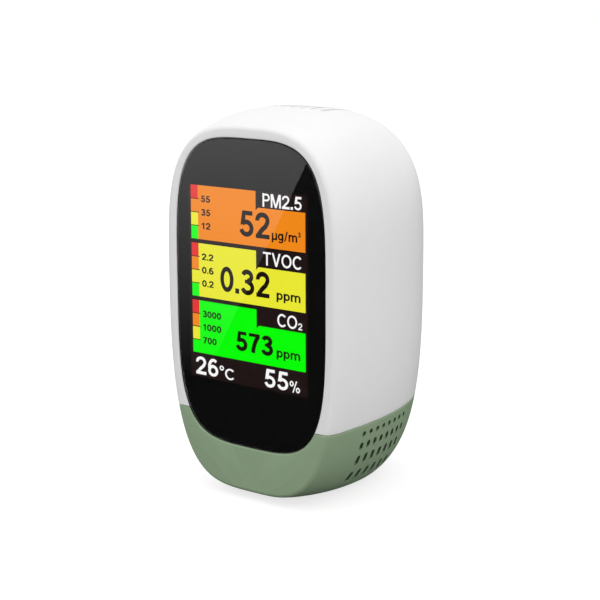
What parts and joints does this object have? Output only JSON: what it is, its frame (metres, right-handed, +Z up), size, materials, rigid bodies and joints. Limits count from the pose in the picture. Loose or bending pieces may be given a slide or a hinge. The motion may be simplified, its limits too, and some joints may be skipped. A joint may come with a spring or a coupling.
{
  "type": "air quality monitor",
  "caption": "Free-standing desktop air quality monitor: domed white housing on a green vented base, with a lit colour display behind black-bordered glass.",
  "frame": {"origin": "centre of the bounding box's bottom, on the plane that the rubber feet stand on", "axes": "+Z up, the display faces -Y, +X is to the viewer's right"},
  "size_m": [0.0654, 0.0632, 0.1146],
  "materials": {
    "white_plastic": "satin moulded ABS",
    "green_plastic": "satin moulded ABS, sage green",
    "front_glass": "black-bordered cover glass, polished",
    "black_adhesive": "black foam tape",
    "display_surface": "colour liquid-crystal panel, lit",
    "white_diffuser": "white moulded light guide tray",
    "pressed_steel": "tinned pressed sheet",
    "amber_film": "polyimide film",
    "circuit_board": "green solder mask",
    "brass": "turned brass",
    "gilded_metal": "gilded moulding",
    "filter_membrane": "white porous membrane",
    "black_plastic": "black moulded plastic",
    "battery_wrap": "blue shrink wrap over foil",
    "carrier_plastic": "white moulded ABS",
    "rubber": "black elastomer",
    "cable_sleeve": "black sleeved wire",
    "zinc_steel": "zinc-plated steel"
  },
  "bodies": {
    "monitor": {"base_screw_1": "zinc_steel", "base_screw_2": "zinc_steel", "base_screw_3": "zinc_steel", "base_screw_4": "zinc_steel", "base_shell": "green_plastic", "battery_cable": "cable_sleeve", "battery_pack": "battery_wrap", "board_screw_1": "zinc_steel", "board_screw_2": "zinc_steel", "board_screw_3": "zinc_steel", "board_screw_4": "zinc_steel", "board_standoff_1": "brass", "board_standoff_2": "brass", "board_standoff_3": "brass", "board_standoff_4": "brass", "bracket_screw_1": "zinc_steel", "bracket_screw_2": "zinc_steel", "bracket_screw_3": "zinc_steel", "bracket_screw_4": "zinc_steel", "buzzer": "black_plastic", "carrier_screw_1": "zinc_steel", "carrier_screw_2": "zinc_steel", "climate_sensor_board": "circuit_board", "climate_sensor_chip": "black_plastic", "co2_filter": "filter_membrane", "co2_sensor": "gilded_metal", "display_backlight": "white_diffuser", "display_bracket": "pressed_steel", "display_flex_cable": "amber_film", "display_panel": "display_surface", "front_glass": "front_glass", "glass_gasket": "black_adhesive", "laser_module": "brass", "main_board": "circuit_board", "particle_sensor_cable": "cable_sleeve", "particle_sensor_case": "black_plastic", "particle_sensor_cover": "pressed_steel", "power_switch": "black_plastic", "processor_chip": "black_plastic", "rear_board": "circuit_board", "rear_board_cable": "cable_sleeve", "rear_board_screw_1": "zinc_steel", "rear_board_screw_2": "zinc_steel", "rubber_foot_1": "rubber", "rubber_foot_2": "rubber", "rubber_foot_3": "rubber", "rubber_foot_4": "rubber", "sensor_carrier": "carrier_plastic", "upper_housing": "white_plastic", "usb_c_socket": "zinc_steel", "voc_sensor": "zinc_steel"},
    "button": {"power_button": "white_plastic", "switch_plunger": "black_plastic"},
    "fan": {"particle_fan_rotor": "black_plastic"}
  },
  "joints": [
    {"name": "power_button_press", "type": "slide", "parent": "monitor", "child": "button", "axis": [0, -1, 0], "range_m": [0, 0.0003], "stiffness_N_per_m": 600},
    {"name": "fan_spin", "type": "hinge", "parent": "monitor", "child": "fan", "pos_m": [0.0085, -0.00275, 0.048], "axis": [0, 1, 0], "continuous": true}
  ]
}
